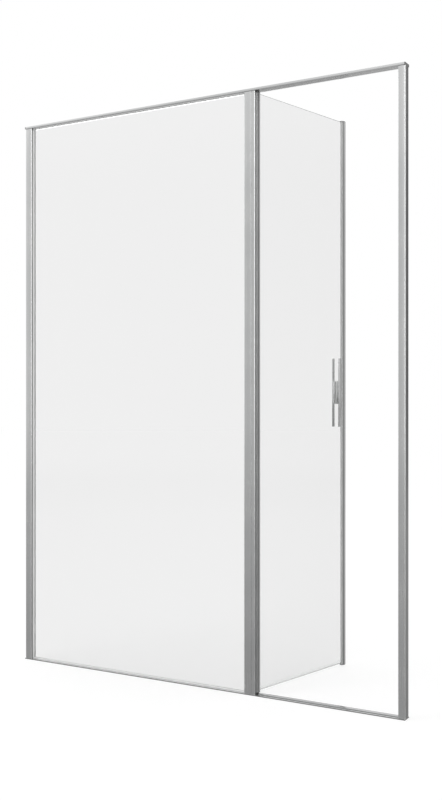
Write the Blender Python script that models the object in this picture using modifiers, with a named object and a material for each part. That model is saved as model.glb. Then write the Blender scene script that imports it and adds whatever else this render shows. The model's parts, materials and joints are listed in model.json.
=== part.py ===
"""Framed shower door for an alcove: a fixed glass panel and a pivot door beside it.

All lengths are in metres. X runs along the frame from the left wall to the right, Y runs
into the shower and Z is up. The origin is the middle of the sill's underside. The door is
drawn open into the shower, turned by OPEN_ANGLE about its pivot.
"""

import math

import bmesh
import bpy

# Frame as a whole
FRAME_WIDTH = 1.500
FRAME_HEIGHT = 2.000
LEAF_REACH = 0.5015             # pivot axis to the door's free end
FIT_GAP = 0.0003                # between neighbouring pieces
RUNNING_GAP = 0.0001            # between a turning pin and its bearing
CUT_OVERRUN = 0.002             # how far a cutter runs past what it cuts
WELD_DISTANCE = 0.000005        # between doubled points of a cap and its sides
WALL_REVEAL = 0.0025            # wall channel showing beside a post

# Top rail
RAIL_DEPTH = 0.036
RAIL_HEIGHT = 0.0082
RAIL_WALL = 0.0014
RAIL_EDGE_RADIUS = 0.0009
GROOVE_DEPTH = 0.005
RAIL_CAP_PLATE = 0.0022
RAIL_CAP_TONGUE = 0.012
COVER_STRIP_WALL = 0.0012

# Sill and water bar
SILL_HEIGHT = 0.003
SILL_EDGE_RADIUS = 0.0008
SEALANT_GROOVE_WIDTH = 0.004
SEALANT_GROOVE_DEPTH = 0.0008
SEALANT_GROOVE_PLACE = 0.010    # from the middle of the sill
WATER_BAR_FRONT = 0.0065        # in front of the door's plane
WATER_BAR_BACK = 0.002          # behind the door's plane
WATER_BAR_SLOPE = 0.0015
WATER_BAR_HEIGHT = 0.0025
WATER_BAR_START_GAP = 0.0009    # beside the lower pivot block

# Posts
POST_DEPTH = 0.030
POST_WIDTH = 0.0265
POST_WALL = 0.0018
POST_CHAMBER_WALL = 0.0020
POST_NOSE_RADIUS = 0.0025
POST_EDGE_RADIUS = 0.0008
LIP_RADIUS = 0.0006
POCKET_DEPTH = 0.0104
CHANNEL_POCKET_DEPTH = 0.014
PORT_SETBACK = 0.0115
PORT_WALL = 0.0015

# Strike post
STRIKE_WIDTH = 0.021
STRIKE_LIP_LENGTH = 0.008
STRIKE_LIP_DEPTH = 0.005
STRIKE_POCKET_DEPTH = 0.008
STRIKE_PORT_SETBACK = 0.007
STRIKE_WALL_EDGE_RADIUS = 0.0015

# Wall channels
CHANNEL_WEB = 0.0018
CHANNEL_LEG = 0.0016
CHANNEL_LEG_ROOM = 0.0015       # left past the legs in a post's pocket
CHANNEL_EDGE_RADIUS = 0.0012
WALL_HOLE_RADIUS = 0.00275
WALL_HOLE_HEIGHT_SHARES = (0.08, 0.5, 0.92)

# Hinge jamb
JAMB_SETBACK = 0.001            # behind the mid post's face
JAMB_NOSE_REACH = 0.0008        # past the pivot axis
JAMB_NOSE_RADIUS = 0.003
BARREL_CLEARANCE = 0.0012
RECESS_END_ANGLE = math.radians(140)
HORN_SPREAD = 0.001
CLIP_LEG_ROOM = 0.0035          # left past the legs in the mid post's pocket
CLIP_WEB = 0.0016
JAMB_CHAMBER_LENGTH = 0.005
JAMB_CHAMBER_DEPTH = 0.0026
JAMB_CHAMBER_WALL = 0.0015

# Glass and glazing
GLASS_THICKNESS = 0.006
GLASS_ARRIS = 0.0004
GASKET_WALL = 0.0029
GASKET_BASE = 0.0025
GASKET_NOSE = 0.0055            # past a post, along the glass
TOP_GASKET_BASE = 0.0012
TOP_GASKET_DROP = 0.0015        # below the rail's underside
BED_STRIP_BASE = 0.0015
BED_STRIP_HEIGHT = 0.0037
BED_STRIP_WALL = 0.0027

# Pivot and hinge profile
PIVOT_OFFSET = 0.0127           # mid post's face to the pivot axis
OPEN_ANGLE = math.radians(78.5)
BARREL_RADIUS = 0.008
HINGE_LIP_END = 0.011           # past the pivot axis
HINGE_LIP_WALL = 0.0014
HINGE_SLOT_FLOOR = 0.0048
SLOT_GASKET_WALL = 0.0008
SLOT_GASKET_BASE = 0.0009
SLOT_GASKET_NOSE = 0.003        # past a door profile, along the glass
HINGE_CAP_LOWER = 0.0018
HINGE_CAP_UPPER = 0.0014
PIN_RADIUS = 0.0030
PIN_IN_PROFILE = 0.042
PIVOT_RIM = 0.0006              # pivot blocks beyond the barrel
PIVOT_JAMB_GAP = 0.0006
LOWER_PIVOT_HEIGHT = 0.0039
LOWER_PIVOT_FLANGE = 0.0015
LOWER_PIVOT_RADIUS = 0.0065
UPPER_PIVOT_PLATE = 0.0017
UPPER_PIVOT_TAB = 0.0135        # in front of the pivot axis
UPPER_PIVOT_CORNER = 0.0015
UPPER_PIVOT_KEY_START = 0.005
UPPER_PIVOT_KEY_END = 0.0055

# Door leaf
LEAF_OVERLAP = 0.0045           # behind the strike post's lip
LEAF_GLASS_BOTTOM = 0.015
LEAF_GLASS_TOP_GAP = 0.0058     # under the rail
LEAF_BOTTOM_GAP = 0.001         # over the water bar
LEAF_TOP_GAP = 0.0018           # under the rail
EDGE_PROFILE_FACE = 0.0196
EDGE_LIP_WALL = 0.0012
EDGE_END_HALF = 0.0066
EDGE_CROWN_RISE = 0.0019
EDGE_SLOT_DEPTH = 0.0091
EDGE_CAP_THICKNESS = 0.0014
STRIP_HEAD = 0.0020
STRIP_HEAD_HALF = 0.0055
STRIP_HEAD_RADIUS = 0.0008
STRIP_MOUTH_HALF = 0.0022
STRIP_MOUTH_DEPTH = 0.0014
EDGE_GROOVE_HALF = 0.0036
EDGE_GROOVE_DEPTH = 0.0047
STRIKE_GROOVE_DEPTH = 0.0030
STRIKE_GROOVE_MOUTH = 0.0012
WIPER_WALL = 0.0010
WIPER_LEG_HEIGHT = 0.0100
WIPER_BASE_DROP = 0.0018        # under the glass
WIPER_SLOPE = 0.0006            # of the underside, towards the fin
WIPER_FIN = 0.0009
WIPER_FIN_GAP = 0.0006          # over the water bar

# Handle
HANDLE_HEIGHT = 1.000           # middle of the bars above the sill's underside
HANDLE_SETBACK = 0.0515         # middle of the bars from the free end
BAR_LENGTH = 0.247
BAR_WIDTH = 0.012
BAR_THICKNESS = 0.005
BAR_CORNER_RADIUS = 0.0015
BAR_END_BEVEL = 0.0008
BAR_SPACING = 0.031             # middle to middle across the glass
BLOCK_LENGTH = 0.082
BLOCK_WIDTH = 0.011
BLOCK_EDGE = 0.0006
PAD_THICKNESS = 0.0010
HANDLE_BOLT_SPACING = 0.050
HANDLE_BOLT_RADIUS = 0.0019
HANDLE_BOLT_HEAD_RADIUS = 0.0036
HANDLE_BOLT_HEAD_DEPTH = 0.0022
HANDLE_BOLT_GRIP = 0.0030       # into the outer bar
GLASS_HOLE_ROOM = 0.0021        # round each bolt

# Frame screws
SCREW_RADIUS = 0.0016
CORNER_SCREW_LENGTH = 0.030
CORNER_HEAD_RADIUS = 0.0034
CORNER_HEAD_DEPTH = 0.0018
SIDE_HEAD_RADIUS = 0.0032
SIDE_HEAD_HEIGHT = 0.0020
SIDE_HEAD_RIM = 0.0008
SIDE_SCREW_LENGTH = 0.0065
SIDE_SCREW_SETBACK = 0.0037     # from a post's wall edge
SIDE_SCREW_HEIGHT_SHARES = (0.12, 0.5, 0.88)

# Facets of round shapes
FILLET_STEPS = 4
ROUND_STEPS = 24
BARREL_STEPS = 28
CROWN_STEPS = 8
SMOOTH_ANGLE = math.radians(35)

# Finishes: colour, metallic, roughness, alpha
ALUMINIUM = ((0.78, 0.785, 0.785), 1.0, 0.28, 1.0)
POLISHED = ((0.70, 0.705, 0.70), 1.0, 0.20, 1.0)
STEEL = ((0.55, 0.55, 0.56), 1.0, 0.35, 1.0)
CLEAR_GLASS = ((0.90, 0.93, 0.92), 0.0, 0.03, 0.35)
CLEAR_PLASTIC = ((0.86, 0.88, 0.87), 0.0, 0.25, 0.6)
PALE_GASKET = ((0.86, 0.87, 0.865), 0.0, 0.45, 1.0)
BLACK_PLASTIC = ((0.03, 0.03, 0.03), 0.0, 0.45, 1.0)
MAGNET_GREY = ((0.42, 0.43, 0.43), 0.0, 0.50, 1.0)

# Places worked out from the sizes above
LEFT_WALL = -FRAME_WIDTH / 2
RIGHT_WALL = FRAME_WIDTH / 2
LEFT_POST_X = LEFT_WALL + WALL_REVEAL
STRIKE_X = RIGHT_WALL - WALL_REVEAL - STRIKE_WIDTH
PIVOT_X = STRIKE_X + LEAF_OVERLAP - LEAF_REACH
MID_POST_X = PIVOT_X - PIVOT_OFFSET - POST_WIDTH
RAIL_UNDERSIDE = FRAME_HEIGHT - RAIL_HEIGHT
GROOVE_CEILING = RAIL_UNDERSIDE + GROOVE_DEPTH
POST_BOTTOM = SILL_HEIGHT + FIT_GAP
POST_TOP = RAIL_UNDERSIDE - FIT_GAP
HALF_GLASS = GLASS_THICKNESS / 2
GASKET_INNER = HALF_GLASS + FIT_GAP
GASKET_OUTER = GASKET_INNER + GASKET_WALL
POCKET_HALF = GASKET_OUTER + FIT_GAP
POCKET_FLOOR = POST_WIDTH - POCKET_DEPTH
SCREW_HOLE_RADIUS = SCREW_RADIUS + FIT_GAP
PORT_BOSS_RADIUS = SCREW_HOLE_RADIUS + PORT_WALL
RECESS_RADIUS = BARREL_RADIUS + BARREL_CLEARANCE
HORN_X = RECESS_RADIUS * math.cos(RECESS_END_ANGLE)
PIVOT_DISC_RADIUS = BARREL_RADIUS + PIVOT_RIM
PIN_HOLE_RADIUS = PIN_RADIUS + FIT_GAP
BEARING_RADIUS = PIN_RADIUS + RUNNING_GAP
SLOT_GASKET_OUTER = GASKET_INNER + SLOT_GASKET_WALL
SLOT_HALF = SLOT_GASKET_OUTER + FIT_GAP
HINGE_LIP_HALF = SLOT_HALF + HINGE_LIP_WALL
LOWER_PIVOT_TOP = POST_BOTTOM + LOWER_PIVOT_HEIGHT
HINGE_PROFILE_BOTTOM = LOWER_PIVOT_TOP + FIT_GAP + HINGE_CAP_LOWER + FIT_GAP
HINGE_PROFILE_TOP = POST_TOP - UPPER_PIVOT_PLATE - FIT_GAP - HINGE_CAP_UPPER - FIT_GAP
WATER_BAR_TOP = POST_BOTTOM + WATER_BAR_HEIGHT
EDGE_PROFILE_BOTTOM = WATER_BAR_TOP + LEAF_BOTTOM_GAP + EDGE_CAP_THICKNESS + FIT_GAP
EDGE_PROFILE_TOP = RAIL_UNDERSIDE - LEAF_TOP_GAP - EDGE_CAP_THICKNESS - FIT_GAP
EDGE_START = LEAF_REACH - EDGE_PROFILE_FACE
EDGE_STOP = LEAF_REACH - STRIP_HEAD - FIT_GAP
HANDLE_X = LEAF_REACH - HANDLE_SETBACK


# Scene helpers

def clear_scene():
    for obj in list(bpy.data.objects):
        bpy.data.objects.remove(obj, do_unlink=True)


def new_collection(name):
    collection = bpy.data.collections.new(name)
    bpy.context.scene.collection.children.link(collection)
    return collection


def finish_material(name, finish):
    colour, metallic, roughness, alpha = finish
    material = bpy.data.materials.new(name)
    material.use_nodes = True
    shader = material.node_tree.nodes["Principled BSDF"]
    shader.inputs["Base Color"].default_value = (*colour, 1.0)
    shader.inputs["Metallic"].default_value = metallic
    shader.inputs["Roughness"].default_value = roughness
    shader.inputs["Alpha"].default_value = alpha
    return material


def place(obj, collection, location, rotation, parent):
    collection.objects.link(obj)
    obj.location = location
    obj.rotation_euler = rotation
    if parent is not None:
        obj.parent = parent


# Outline helpers: every outline is a list of (x, y) points

def arc(centre, radius, start, stop, steps):
    return [(centre[0] + radius * math.cos(start + (stop - start) * i / steps),
             centre[1] + radius * math.sin(start + (stop - start) * i / steps))
            for i in range(steps + 1)]


def circle(centre, radius, steps=ROUND_STEPS):
    return arc(centre, radius, 0, math.tau, steps)[:-1]


def rectangle(x0, y0, x1, y1):
    return [(x0, y0), (x1, y0), (x1, y1), (x0, y1)]


def rounded(corners):
    """Turn (x, y) and (x, y, radius) corners into points, with a fillet at each radius."""
    points = []
    count = len(corners)
    for i, corner in enumerate(corners):
        x, y = corner[0], corner[1]
        radius = corner[2] if len(corner) == 3 else 0
        if radius == 0:
            points.append((x, y))
            continue
        before, after = corners[i - 1], corners[(i + 1) % count]
        to_before = math.atan2(before[1] - y, before[0] - x)
        to_after = math.atan2(after[1] - y, after[0] - x)
        half = math.remainder(to_after - to_before, math.tau) / 2
        middle = to_before + half
        reach = radius / abs(math.sin(half))
        centre = (x + reach * math.cos(middle), y + reach * math.sin(middle))
        sweep = (math.pi - abs(2 * half)) * math.copysign(1, half)
        start = middle + math.pi + sweep / 2
        points += arc(centre, radius, start, start - sweep, FILLET_STEPS)
    return points


def crowned(x0, y0, x1, y1, rise, steps):
    """Points of a shallow arc from one end to the other, bulging up by rise."""
    points = []
    for i in range(steps + 1):
        t = i / steps
        swell = rise * (1 - (2 * t - 1) ** 2)
        points.append((x0 + (x1 - x0) * t, y0 + (y1 - y0) * t + swell))
    return points


def mirrored_in_y(points):
    return [(x, -y) for x, y in reversed(points)]


def turned_about(points):
    """The same outline turned half a turn, for a post that faces the other way."""
    return [(-x, -y) for x, y in points]


# Solid helpers

def welded_mesh(curve_object, name):
    """A closed mesh from an extruded curve, its caps joined to its sides."""
    depsgraph = bpy.context.evaluated_depsgraph_get()
    mesh = bpy.data.meshes.new_from_object(curve_object.evaluated_get(depsgraph))
    mesh.name = name
    work = bmesh.new()
    work.from_mesh(mesh)
    bmesh.ops.remove_doubles(work, verts=work.verts, dist=WELD_DISTANCE)
    bmesh.ops.dissolve_degenerate(work, edges=work.edges, dist=WELD_DISTANCE)
    bmesh.ops.recalc_face_normals(work, faces=work.faces)
    work.to_mesh(mesh)
    work.free()
    return mesh


def extruded(name, loops, start, stop, finish, along="Z", parent=None, base=(0, 0)):
    """Extrude an outline with holes from start to stop, along Z or along X.

    Along Z the outline lies in X and Y. Along X it lies in Y and Z.
    """
    curve = bpy.data.curves.new(name + "_outline", "CURVE")
    curve.dimensions = "2D"
    curve.fill_mode = "BOTH"
    curve.extrude = (stop - start) / 2
    for loop in loops:
        spline = curve.splines.new("POLY")
        spline.points.add(len(loop) - 1)
        for point, (x, y) in zip(spline.points, loop):
            point.co = (x, y, 0, 1)
        spline.use_cyclic_u = True
    guide = bpy.data.objects.new(name + "_outline", curve)
    bpy.context.scene.collection.objects.link(guide)
    bpy.context.view_layer.update()
    mesh = welded_mesh(guide, name)
    bpy.data.objects.remove(guide, do_unlink=True)
    bpy.data.curves.remove(curve)

    middle = (start + stop) / 2
    if along == "Z":
        location, rotation = (base[0], base[1], middle), (0, 0, 0)
    else:
        location, rotation = (middle, base[0], base[1]), (math.pi / 2, 0, math.pi / 2)
    mesh.shade_smooth()
    mesh.set_sharp_from_angle(angle=SMOOTH_ANGLE)
    mesh.materials.append(finish_material(name, finish))
    obj = bpy.data.objects.new(name, mesh)
    place(obj, PARTS, location, rotation, parent)
    return obj


def box(name, low, high, finish, parent=None, bevel=0, segments=1):
    """A box between two corners, its edges bevelled where bevel isn't zero."""
    mesh = bpy.data.meshes.new(name)
    work = bmesh.new()
    bmesh.ops.create_cube(work, size=1)
    size = [b - a for a, b in zip(low, high)]
    bmesh.ops.scale(work, vec=size, verts=work.verts)
    work.to_mesh(mesh)
    work.free()
    mesh.materials.append(finish_material(name, finish))
    obj = bpy.data.objects.new(name, mesh)
    place(obj, PARTS, [(a + b) / 2 for a, b in zip(low, high)], (0, 0, 0), parent)
    if bevel > 0:
        add_bevel(obj, bevel, segments)
    return obj


def turned(name, profile, location, rotation, finish, parent=None, collection=None):
    """Turn (radius, z) points, listed from the top, about Z: a ring where none is on the axis."""
    mesh = bpy.data.meshes.new(name)
    work = bmesh.new()
    verts = [work.verts.new((radius, 0, z)) for radius, z in profile]
    for first, second in zip(verts, verts[1:]):
        work.edges.new((first, second))
    if profile[0][0] > 0:
        work.edges.new((verts[-1], verts[0]))
    work.to_mesh(mesh)
    work.free()
    if finish is not None:
        mesh.materials.append(finish_material(name, finish))
    obj = bpy.data.objects.new(name, mesh)
    place(obj, collection or PARTS, location, rotation, parent)
    screw = obj.modifiers.new("turn", "SCREW")
    screw.steps = ROUND_STEPS
    screw.render_steps = ROUND_STEPS
    screw.use_merge_vertices = True
    screw.merge_threshold = WELD_DISTANCE
    screw.use_smooth_shade = True
    return obj


def add_bevel(obj, width, segments):
    bevel = obj.modifiers.new("edges", "BEVEL")
    bevel.width = width
    bevel.segments = segments
    bevel.limit_method = "ANGLE"
    bevel.angle_limit = SMOOTH_ANGLE
    bevel.harden_normals = False


def combine(obj, other, operation):
    other.hide_render = True
    other.display_type = "WIRE"
    modifier = obj.modifiers.new(operation.lower(), "BOOLEAN")
    modifier.operation = operation
    modifier.solver = "EXACT"
    modifier.object = other


def bore(obj, profile, location, rotation, parent=None):
    """Cut a turned hole of (radius, z) points; all holes of an object are cut at once."""
    cutter = turned(obj.name + "_hole_" + str(len(CUTTERS.objects)), profile, location,
                    rotation, None, parent, CUTTERS)
    first = obj.modifiers.get("difference")
    if first is None:
        combine(obj, cutter, "DIFFERENCE")
    else:
        combine(first.object, cutter, "UNION")


def rod_profile(radius, low, high):
    return [(0, high), (radius, high), (radius, low), (0, low)]


def countersunk_screw(radius, head_radius, head_depth, low, high):
    """A screw with a flat head at the top, its cone running into the shank."""
    return [(0, high), (head_radius, high), (radius, high - head_depth), (radius, low), (0, low)]


def countersunk_hole(radius, head_radius, head_depth, low, high):
    """Cutter for the seat of a countersunk screw, with FIT_GAP all round."""
    slope = (head_radius - radius) / head_depth
    mouth = head_radius + FIT_GAP + slope * CUT_OVERRUN
    return [(0, high + CUT_OVERRUN), (mouth, high + CUT_OVERRUN),
            (radius + FIT_GAP, high - head_depth), (radius + FIT_GAP, low), (0, low)]


# Rotations that turn a piece's own Z axis to X, to Y or to the ground
UPRIGHT = (0, 0, 0)
FACE_X = (0, math.pi / 2, 0)
FACE_Y = (-math.pi / 2, 0, 0)
FACE_DOWN = (math.pi, 0, 0)


# Sections of the extruded profiles

def port_boss(centre_x, web_x):
    """Outline of the boss round a screw port, from above the middle line to below it."""
    side = math.copysign(1, web_x - centre_x)
    start = math.pi / 2
    stop = start + side * math.pi
    return ([(web_x, PORT_BOSS_RADIUS)]
            + arc((centre_x, 0), PORT_BOSS_RADIUS, start, stop, ROUND_STEPS // 2)
            + [(web_x, -PORT_BOSS_RADIUS)])


def glazing_post_section():
    """Post that holds the fixed glass: wall side at x = 0, glass side at POST_WIDTH."""
    half = POST_DEPTH / 2
    inner = half - POST_WALL
    lip = POCKET_HALF
    web_x = CHANNEL_POCKET_DEPTH
    outside = rounded([
        (0, -inner), (0, -half, POST_EDGE_RADIUS), (POST_WIDTH, -half, POST_NOSE_RADIUS),
        (POST_WIDTH, -lip, LIP_RADIUS), (POCKET_FLOOR, -lip), (POCKET_FLOOR, lip),
        (POST_WIDTH, lip, LIP_RADIUS), (POST_WIDTH, half, POST_NOSE_RADIUS),
        (0, half, POST_EDGE_RADIUS), (0, inner), (web_x, inner)])
    outside += port_boss(PORT_SETBACK, web_x) + [(web_x, -inner)]
    chamber = rectangle(web_x + POST_WALL, lip + POST_WALL, POST_WIDTH - POST_WALL,
                        half - POST_CHAMBER_WALL)
    port = circle((PORT_SETBACK, 0), SCREW_HOLE_RADIUS)
    return [outside, chamber, mirrored_in_y(chamber), port]


def strip_groove(edge_x, mouth, depth, half):
    """T-shaped groove for a magnetic strip, open towards smaller x at edge_x."""
    upper = [(edge_x, STRIP_MOUTH_HALF), (edge_x + mouth, STRIP_MOUTH_HALF),
             (edge_x + mouth, half), (edge_x + depth, half)]
    return upper + mirrored_in_y(upper)


def strike_post_section():
    """Post that the door closes against: doorway at x = 0, wall side at STRIKE_WIDTH."""
    half = POST_DEPTH / 2
    inner = half - POST_WALL
    web_x = STRIKE_WIDTH - STRIKE_POCKET_DEPTH
    lip_y = STRIKE_LIP_DEPTH - half
    front = rounded([
        (STRIKE_LIP_LENGTH, lip_y), (0, lip_y, LIP_RADIUS), (0, -half, POST_NOSE_RADIUS),
        (STRIKE_WIDTH, -half, STRIKE_WALL_EDGE_RADIUS), (STRIKE_WIDTH, -inner),
        (web_x, -inner)])
    boss = list(reversed(port_boss(STRIKE_WIDTH - STRIKE_PORT_SETBACK, web_x)))
    back = rounded([
        (web_x, inner), (STRIKE_WIDTH, inner), (STRIKE_WIDTH, half, POST_EDGE_RADIUS),
        (STRIKE_LIP_LENGTH, half, POST_EDGE_RADIUS), (STRIKE_LIP_LENGTH, EDGE_GROOVE_HALF)])
    groove = strip_groove(STRIKE_LIP_LENGTH, STRIKE_GROOVE_MOUTH, STRIKE_GROOVE_DEPTH,
                          EDGE_GROOVE_HALF)
    port = circle((STRIKE_WIDTH - STRIKE_PORT_SETBACK, 0), SCREW_HOLE_RADIUS)
    return [front + boss + back[:-1] + groove, port]


def channel_section(pocket_depth):
    """Wall channel for a post's pocket: web at x = 0, legs towards larger x."""
    leg_length = WALL_REVEAL + pocket_depth - CHANNEL_LEG_ROOM
    outer = POST_DEPTH / 2 - POST_WALL - FIT_GAP
    inner = outer - CHANNEL_LEG
    return [rounded([
        (0, -outer, CHANNEL_EDGE_RADIUS), (leg_length, -outer), (leg_length, -inner),
        (CHANNEL_WEB, -inner), (CHANNEL_WEB, inner), (leg_length, inner), (leg_length, outer),
        (0, outer, CHANNEL_EDGE_RADIUS)])]


def jamb_section():
    """Hinge jamb about the pivot axis: a clip, a rounded nose and the barrel's recess."""
    half = POST_DEPTH / 2 - JAMB_SETBACK
    face_x = FIT_GAP - PIVOT_OFFSET
    leg_x = face_x - CHANNEL_POCKET_DEPTH + CLIP_LEG_ROOM
    leg_y = POST_DEPTH / 2 - POST_WALL - FIT_GAP
    inner_y = leg_y - CLIP_WEB
    nose_angle = -math.acos(JAMB_NOSE_REACH / RECESS_RADIUS)
    nose = rounded([
        (face_x, -half, POST_EDGE_RADIUS), (JAMB_NOSE_REACH, -half, JAMB_NOSE_RADIUS),
        (JAMB_NOSE_REACH, RECESS_RADIUS * math.sin(nose_angle)), (face_x, 0)])[:-1]
    seat = arc((0, 0), RECESS_RADIUS, nose_angle, RECESS_END_ANGLE - math.tau, ROUND_STEPS)[1:]
    clip = [(HORN_X - HORN_SPREAD, half), (face_x, half), (face_x, leg_y), (leg_x, leg_y),
            (leg_x, inner_y), (face_x - CLIP_WEB, inner_y), (face_x - CLIP_WEB, -inner_y),
            (leg_x, -inner_y), (leg_x, -leg_y), (face_x, -leg_y)]
    chamber_x = face_x + JAMB_CHAMBER_WALL
    chamber_y = JAMB_CHAMBER_WALL - half
    chamber = rectangle(chamber_x, chamber_y, chamber_x + JAMB_CHAMBER_LENGTH,
                        chamber_y + JAMB_CHAMBER_DEPTH)
    return [nose + seat + clip, chamber]


def barrel_arc():
    """The barrel's outer curve, from the back lip round to the front lip."""
    lip_angle = math.asin(HINGE_LIP_HALF / BARREL_RADIUS)
    return arc((0, 0), BARREL_RADIUS, lip_angle, math.tau - lip_angle, BARREL_STEPS)


def hinge_outline():
    return ([(HINGE_LIP_END, -HINGE_LIP_HALF), (HINGE_LIP_END, HINGE_LIP_HALF)]
            + barrel_arc())


def hinge_section():
    """Hinge profile: a barrel on the pivot axis with a slot for the glass at +x."""
    slotted = ([(HINGE_LIP_END, -HINGE_LIP_HALF), (HINGE_LIP_END, -SLOT_HALF),
                (HINGE_SLOT_FLOOR, -SLOT_HALF), (HINGE_SLOT_FLOOR, SLOT_HALF),
                (HINGE_LIP_END, SLOT_HALF), (HINGE_LIP_END, HINGE_LIP_HALF)]
               + barrel_arc())
    return [slotted, circle((0, 0), PIN_HOLE_RADIUS)]


def edge_side():
    """The crowned outer side of the free-edge profile, from the glass to the free end."""
    return crowned(EDGE_START, SLOT_HALF + EDGE_LIP_WALL, EDGE_STOP, EDGE_END_HALF,
                   EDGE_CROWN_RISE, CROWN_STEPS)


def edge_section():
    """Free-edge profile: a glass slot at one end and a magnetic strip's groove at the other."""
    slot_floor = EDGE_START + EDGE_SLOT_DEPTH
    mouth_x = EDGE_STOP - STRIP_MOUTH_DEPTH
    floor_x = EDGE_STOP - EDGE_GROOVE_DEPTH
    upper = ([(slot_floor, SLOT_HALF), (EDGE_START, SLOT_HALF)] + edge_side()
             + [(EDGE_STOP, STRIP_MOUTH_HALF), (mouth_x, STRIP_MOUTH_HALF),
                (mouth_x, EDGE_GROOVE_HALF), (floor_x, EDGE_GROOVE_HALF)])
    return [upper + mirrored_in_y(upper)]


def edge_cap_section():
    side = edge_side()
    start = EDGE_START - SLOT_GASKET_NOSE
    upper = [(start, side[0][1])] + side
    return [upper + mirrored_in_y(upper)]


def strip_section(face_x, side, mouth, depth):
    """Magnetic strip in a T groove: side is +1 where its head faces larger x."""
    neck = STRIP_MOUTH_HALF - FIT_GAP
    foot = EDGE_GROOVE_HALF - FIT_GAP
    head_x = face_x + side * (FIT_GAP + STRIP_HEAD)
    shoulder_x = face_x + side * FIT_GAP
    throat_x = face_x - side * (mouth + FIT_GAP)
    foot_x = face_x - side * (depth - FIT_GAP)
    return [rounded([
        (head_x, -STRIP_HEAD_HALF, STRIP_HEAD_RADIUS), (head_x, STRIP_HEAD_HALF, STRIP_HEAD_RADIUS),
        (shoulder_x, STRIP_HEAD_HALF), (shoulder_x, neck), (throat_x, neck), (throat_x, foot),
        (foot_x, foot), (foot_x, -foot), (throat_x, -foot), (throat_x, -neck),
        (shoulder_x, -neck), (shoulder_x, -STRIP_HEAD_HALF)])]


def u_section(floor, base, nose, outer, inner):
    """U-shaped gasket, its base at floor and its legs running to nose along x."""
    step = math.copysign(base, nose - floor)
    return [[(floor, -outer), (nose, -outer), (nose, -inner), (floor + step, -inner),
             (floor + step, inner), (nose, inner), (nose, outer), (floor, outer)]]


def top_rail_section():
    """Top rail in Y and Z above its underside: a groove between two hollow chambers."""
    half = RAIL_DEPTH / 2
    groove = POCKET_HALF
    outside = rounded([
        (-half, 0, RAIL_EDGE_RADIUS), (-groove, 0), (-groove, GROOVE_DEPTH),
        (groove, GROOVE_DEPTH), (groove, 0), (half, 0, RAIL_EDGE_RADIUS),
        (half, RAIL_HEIGHT, RAIL_EDGE_RADIUS), (-half, RAIL_HEIGHT, RAIL_EDGE_RADIUS)])
    return [outside] + rail_chambers(0)


def rail_chambers(shrink):
    """The rail's two hollow chambers, or with shrink the tongues that plug them."""
    near = POCKET_HALF + RAIL_WALL + shrink
    far = RAIL_DEPTH / 2 - RAIL_WALL - shrink
    low = RAIL_WALL + shrink
    high = RAIL_HEIGHT - RAIL_WALL - shrink
    return [rectangle(near, low, far, high), rectangle(-far, low, -near, high)]


def sill_section():
    half = RAIL_DEPTH / 2
    near = SEALANT_GROOVE_PLACE - SEALANT_GROOVE_WIDTH / 2
    far = SEALANT_GROOVE_PLACE + SEALANT_GROOVE_WIDTH / 2
    groove = [(near, 0), (near, SEALANT_GROOVE_DEPTH), (far, SEALANT_GROOVE_DEPTH), (far, 0)]
    top = rounded([(half, 0), (half, SILL_HEIGHT, SILL_EDGE_RADIUS),
                   (-half, SILL_HEIGHT, SILL_EDGE_RADIUS), (-half, 0)])
    return [top + [(-y, z) for y, z in reversed(groove)] + groove]


# Frame pieces

def make_posts():
    left = extruded("left_post", glazing_post_section(), POST_BOTTOM, POST_TOP, ALUMINIUM,
                    base=(LEFT_POST_X, 0))
    loops = [turned_about(loop) for loop in glazing_post_section()]
    extruded("mid_post", loops, POST_BOTTOM, POST_TOP, ALUMINIUM,
             base=(MID_POST_X + POST_WIDTH, 0))
    strike = extruded("strike_post", strike_post_section(), POST_BOTTOM, POST_TOP, ALUMINIUM,
                      base=(STRIKE_X, 0))
    extruded("hinge_jamb", jamb_section(), POST_BOTTOM, POST_TOP, ALUMINIUM,
             base=(PIVOT_X, 0))
    return left, strike


def make_wall_channels():
    left = extruded("wall_channel_left", channel_section(CHANNEL_POCKET_DEPTH),
                    POST_BOTTOM, POST_TOP, ALUMINIUM, base=(LEFT_WALL, 0))
    loops = [turned_about(loop) for loop in channel_section(STRIKE_POCKET_DEPTH)]
    right = extruded("wall_channel_right", loops, POST_BOTTOM, POST_TOP, ALUMINIUM,
                     base=(RIGHT_WALL, 0))
    reach = CHANNEL_WEB + CUT_OVERRUN
    for share in WALL_HOLE_HEIGHT_SHARES:
        height = share * FRAME_HEIGHT
        for channel, wall in ((left, LEFT_WALL), (right, RIGHT_WALL)):
            bore(channel, rod_profile(WALL_HOLE_RADIUS, -reach, reach), (wall, 0, height),
                 FACE_X)
    return left, right


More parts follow.
